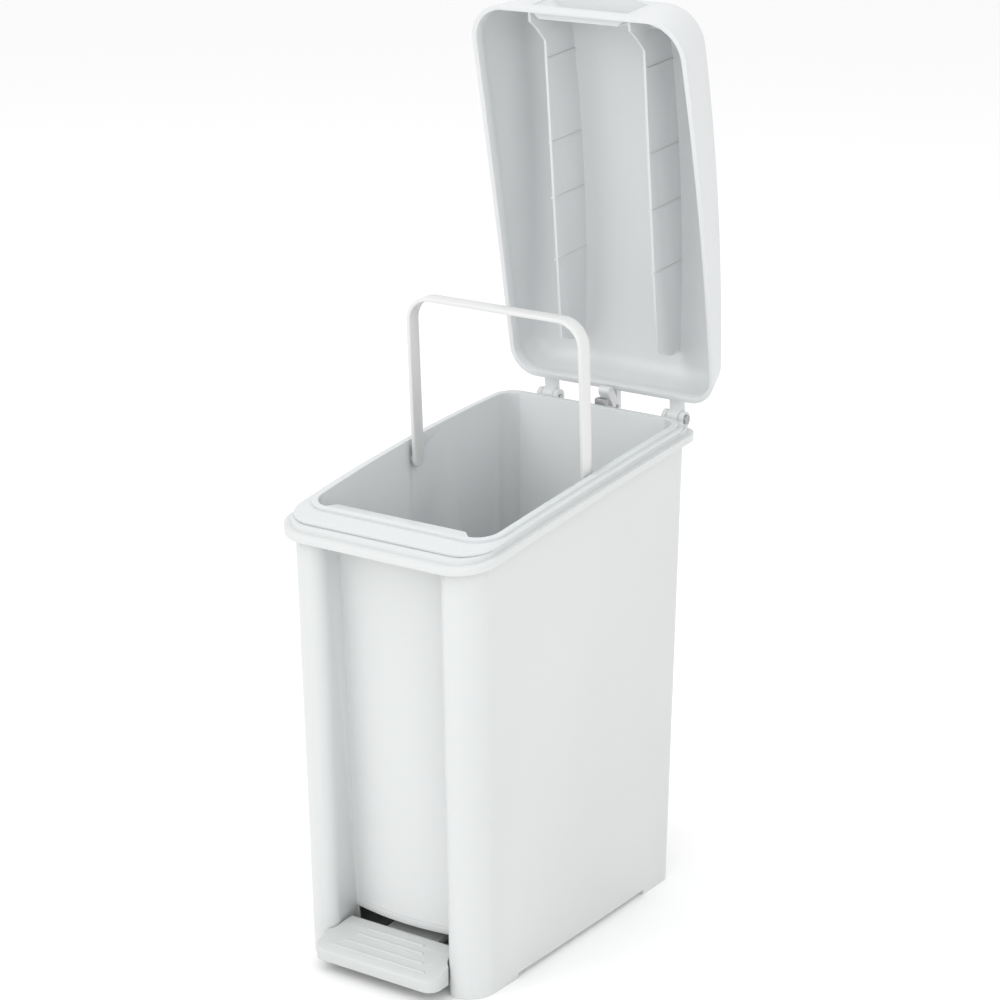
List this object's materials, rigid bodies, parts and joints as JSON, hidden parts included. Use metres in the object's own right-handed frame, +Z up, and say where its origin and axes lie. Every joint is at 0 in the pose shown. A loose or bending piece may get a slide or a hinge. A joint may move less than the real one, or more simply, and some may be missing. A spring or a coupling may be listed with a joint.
{
  "type": "pedal trash can",
  "caption": "Slim pedal-operated kitchen bin with a hinged domed lid and a lift-out inner bucket that has a bail handle.",
  "frame": {"origin": "on the floor under the middle of the whole object with its lid open", "axes": "+Z up, -Y towards the pedal and the user, +X to the user's right"},
  "size_m": [0.2038, 0.3764, 0.7457],
  "materials": {
    "bin_plastic": "fine satin moulded light grey",
    "lid_plastic": "fine satin moulded light grey",
    "bucket_plastic": "thin glossy moulded pale grey",
    "bail_plastic": "satin moulded off-white",
    "pedal_plastic": "satin moulded grey",
    "steel": "plain zinc-plated"
  },
  "bodies": {
    "root": {"outer_bin": "bin_plastic", "rear_cover": "bin_plastic", "rear_cover_screws": "steel", "rod_guide_upper": "pedal_plastic", "rod_guide_lower": "pedal_plastic", "axle_saddle_left": "pedal_plastic", "axle_saddle_right": "pedal_plastic", "saddle_screws": "steel", "pedal_axle": "steel", "axle_clip_left": "steel", "axle_clip_right": "steel", "hinge_pin_left": "steel", "hinge_pin_right": "steel"},
    "lid": {"lid": "lid_plastic"},
    "pedal": {"pedal_tread": "pedal_plastic", "pedal_lever": "pedal_plastic", "tread_screws": "steel", "lever_pin": "steel"},
    "rod": {"lift_rod": "steel"},
    "bucket": {"inner_bucket": "bucket_plastic"},
    "bail": {"bail_handle": "bail_plastic"}
  },
  "joints": [
    {"name": "lid_hinge", "type": "hinge", "parent": "root", "child": "lid", "pos_m": [0, 0.1548, 0.3955], "axis": [1, 0, 0], "range_deg": [0, 84.6]},
    {"name": "pedal_pivot", "type": "hinge", "parent": "root", "child": "pedal", "pos_m": [0, -0.0852, 0.026], "axis": [1, 0, 0], "range_deg": [-6.17, 0]},
    {"name": "rod_slide", "type": "slide", "parent": "root", "child": "rod", "axis": [0, 0, 1], "range_m": [-0.02409, 0]},
    {"name": "bucket_lift", "type": "slide", "parent": "root", "child": "bucket", "axis": [0, -0.1435, 0.9897], "range_m": [0, 0.4]},
    {"name": "bail_hinge", "type": "hinge", "parent": "bucket", "child": "bail", "pos_m": [0, -0.0092, 0.376], "axis": [1, 0, 0], "range_deg": [0, 83.9]}
  ],
  "couplings": [
    {"joint": "pedal_pivot", "follows": "lid_hinge", "ratio": -0.072837},
    {"joint": "rod_slide", "follows": "lid_hinge", "m_per_rad": -0.016279},
    {"joint": "bail_hinge", "follows": "lid_hinge", "ratio": 0.99172}
  ]
}
